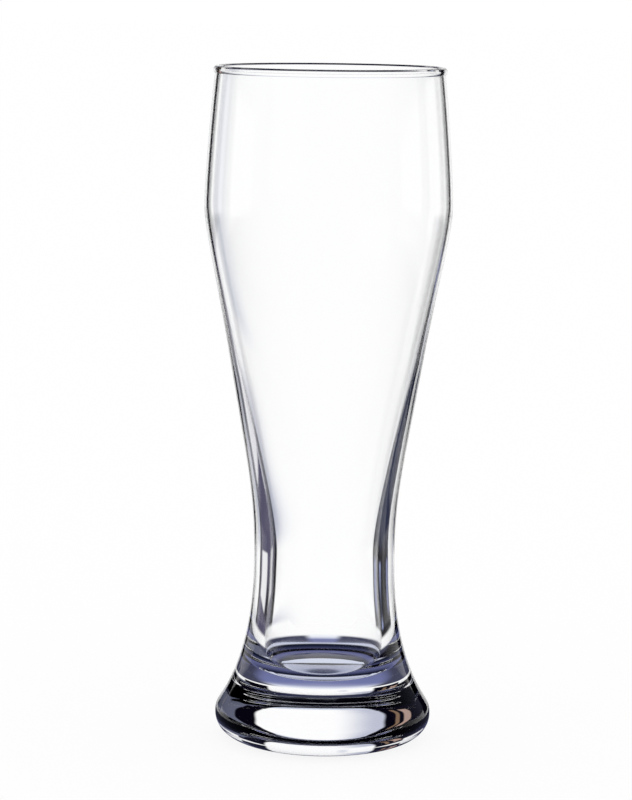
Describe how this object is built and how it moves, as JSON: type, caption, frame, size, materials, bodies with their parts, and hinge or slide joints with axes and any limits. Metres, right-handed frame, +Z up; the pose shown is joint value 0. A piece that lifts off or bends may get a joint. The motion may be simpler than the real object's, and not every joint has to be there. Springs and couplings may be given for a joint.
{
  "type": "pilsner glass",
  "caption": "Tall clear beer glass with a gently bulging barrel, a long taper to a narrow waist, a heavy flared solid foot and a fine rim bead; it holds a drink and stands on its foot.",
  "frame": {"origin": "on the axis of the glass, at the level of the table it stands on", "axes": "+Z up along the axis of the glass; the glass is round, so +X and +Y have no meaning of their own"},
  "size_m": [0.0802, 0.0802, 0.22],
  "materials": {
    "clear_glass": "clear, fire-polished, with a faint violet-grey tint where the glass is thick"
  },
  "bodies": {
    "root": {"rim_bead": "clear_glass", "bowl": "clear_glass", "foot": "clear_glass"}
  },
  "joints": []
}
